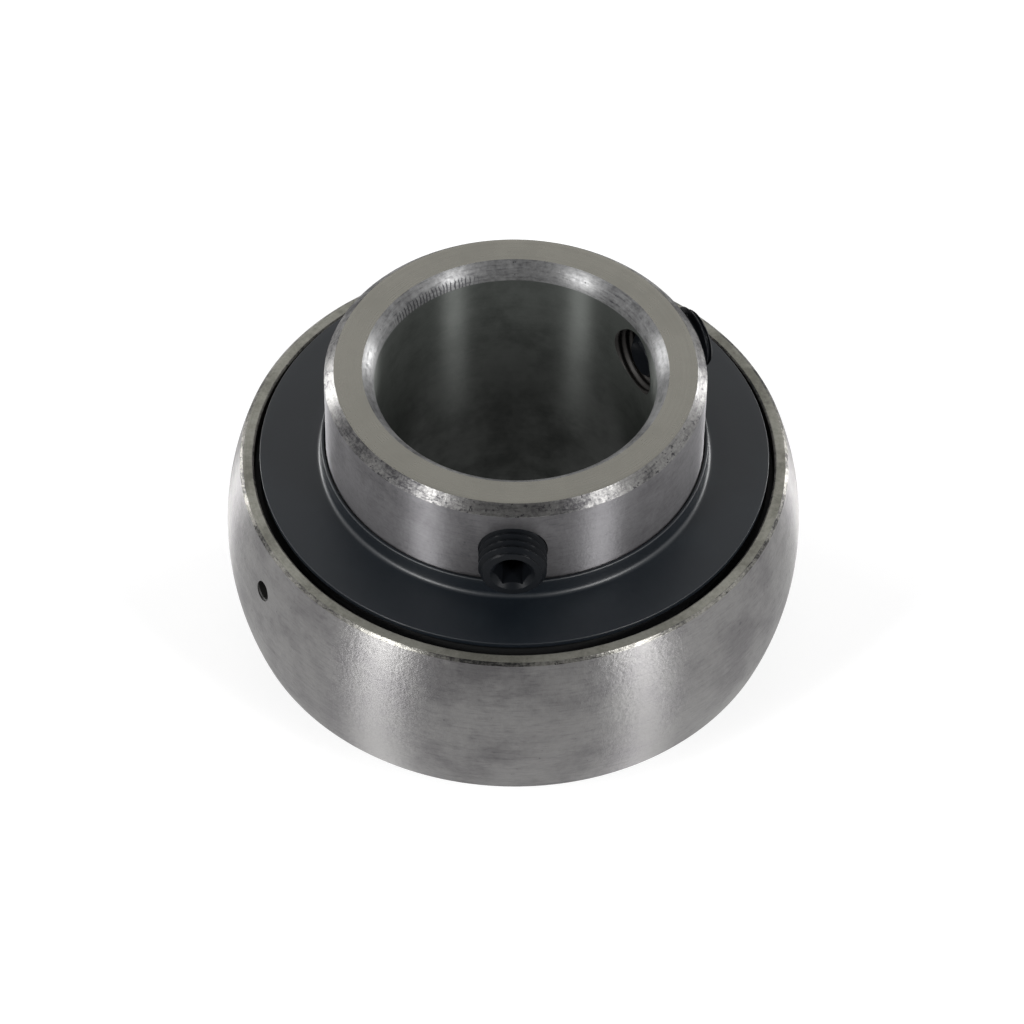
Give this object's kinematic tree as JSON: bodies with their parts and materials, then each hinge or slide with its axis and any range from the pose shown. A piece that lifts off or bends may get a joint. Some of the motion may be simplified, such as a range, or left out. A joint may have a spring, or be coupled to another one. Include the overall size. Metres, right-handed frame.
{
  "type": "insert bearing",
  "caption": "Ball bearing insert with a spherical outside, sealed and shielded sides, and a long inner ring held on its shaft by set screws.",
  "frame": {"origin": "centre of the narrow end face that the bearing stands on", "axes": "+Z along the bore, from the narrow end to the set screw end; -Y towards the first set screw"},
  "size_m": [0.052, 0.052, 0.0341],
  "materials": {
    "ground_bearing_steel": "satin",
    "turned_bearing_steel": "satin",
    "blackened_sheet": "satin",
    "black_oxide": "satin",
    "polished_steel": "polished",
    "pressed_steel_sheet": "satin",
    "rivet_steel": "satin",
    "zinc_plated_sheet": "satin",
    "nitrile_rubber": "matte"
  },
  "bodies": {
    "outer": {"outer_ring": "ground_bearing_steel", "upper_seal_plate": "zinc_plated_sheet", "upper_seal_lip": "nitrile_rubber", "lower_seal_plate": "zinc_plated_sheet", "lower_seal_lip": "nitrile_rubber"},
    "inner": {"inner_ring": "turned_bearing_steel", "upper_flinger": "blackened_sheet", "lower_flinger": "blackened_sheet"},
    "cage": {"cage_upper": "pressed_steel_sheet", "cage_lower": "pressed_steel_sheet", "cage_rivet_1": "rivet_steel", "cage_rivet_2": "rivet_steel", "cage_rivet_3": "rivet_steel", "cage_rivet_4": "rivet_steel", "cage_rivet_5": "rivet_steel", "cage_rivet_6": "rivet_steel", "cage_rivet_7": "rivet_steel", "cage_rivet_8": "rivet_steel", "cage_rivet_9": "rivet_steel"},
    "ball_1": {"ball_1": "polished_steel"},
    "ball_2": {"ball_2": "polished_steel"},
    "ball_3": {"ball_3": "polished_steel"},
    "ball_4": {"ball_4": "polished_steel"},
    "ball_5": {"ball_5": "polished_steel"},
    "ball_6": {"ball_6": "polished_steel"},
    "ball_7": {"ball_7": "polished_steel"},
    "ball_8": {"ball_8": "polished_steel"},
    "ball_9": {"ball_9": "polished_steel"},
    "set_screw_1": {"set_screw_1": "black_oxide"},
    "set_screw_2": {"set_screw_2": "black_oxide"}
  },
  "joints": [
    {"name": "inner_spin", "type": "hinge", "parent": "outer", "child": "inner", "pos_m": [0, 0, 0.0143], "axis": [0, 0, 1], "continuous": true},
    {"name": "cage_orbit", "type": "hinge", "parent": "outer", "child": "cage", "pos_m": [0, 0, 0.0143], "axis": [0, 0, 1], "continuous": true},
    {"name": "ball_1_roll", "type": "hinge", "parent": "cage", "child": "ball_1", "pos_m": [0.0195, 0, 0.0143], "axis": [0, 0, 1], "continuous": true},
    {"name": "ball_2_roll", "type": "hinge", "parent": "cage", "child": "ball_2", "pos_m": [0.01494, 0.01253, 0.0143], "axis": [0, 0, 1], "continuous": true},
    {"name": "ball_3_roll", "type": "hinge", "parent": "cage", "child": "ball_3", "pos_m": [0.00339, 0.0192, 0.0143], "axis": [0, 0, 1], "continuous": true},
    {"name": "ball_4_roll", "type": "hinge", "parent": "cage", "child": "ball_4", "pos_m": [-0.00975, 0.01689, 0.0143], "axis": [0, 0, 1], "continuous": true},
    {"name": "ball_5_roll", "type": "hinge", "parent": "cage", "child": "ball_5", "pos_m": [-0.01832, 0.00667, 0.0143], "axis": [0, 0, 1], "continuous": true},
    {"name": "ball_6_roll", "type": "hinge", "parent": "cage", "child": "ball_6", "pos_m": [-0.01832, -0.00667, 0.0143], "axis": [0, 0, 1], "continuous": true},
    {"name": "ball_7_roll", "type": "hinge", "parent": "cage", "child": "ball_7", "pos_m": [-0.00975, -0.01689, 0.0143], "axis": [0, 0, 1], "continuous": true},
    {"name": "ball_8_roll", "type": "hinge", "parent": "cage", "child": "ball_8", "pos_m": [0.00339, -0.0192, 0.0143], "axis": [0, 0, 1], "continuous": true},
    {"name": "ball_9_roll", "type": "hinge", "parent": "cage", "child": "ball_9", "pos_m": [0.01494, -0.01253, 0.0143], "axis": [0, 0, 1], "continuous": true},
    {"name": "set_screw_1_turn_in", "type": "slide", "parent": "inner", "child": "set_screw_1", "axis": [0, -1, 0], "range_m": [-0.0026, 0.0014]},
    {"name": "set_screw_2_turn_in", "type": "slide", "parent": "inner", "child": "set_screw_2", "axis": [0.866, 0.5, 0], "range_m": [-0.002, 0.002]}
  ],
  "couplings": [
    {"joint": "cage_orbit", "follows": "inner_spin", "ratio": 0.39823},
    {"joint": "ball_1_roll", "follows": "inner_spin", "ratio": -2.3548},
    {"joint": "ball_2_roll", "follows": "inner_spin", "ratio": -2.3548},
    {"joint": "ball_3_roll", "follows": "inner_spin", "ratio": -2.3548},
    {"joint": "ball_4_roll", "follows": "inner_spin", "ratio": -2.3548},
    {"joint": "ball_5_roll", "follows": "inner_spin", "ratio": -2.3548},
    {"joint": "ball_6_roll", "follows": "inner_spin", "ratio": -2.3548},
    {"joint": "ball_7_roll", "follows": "inner_spin", "ratio": -2.3548},
    {"joint": "ball_8_roll", "follows": "inner_spin", "ratio": -2.3548},
    {"joint": "ball_9_roll", "follows": "inner_spin", "ratio": -2.3548}
  ]
}
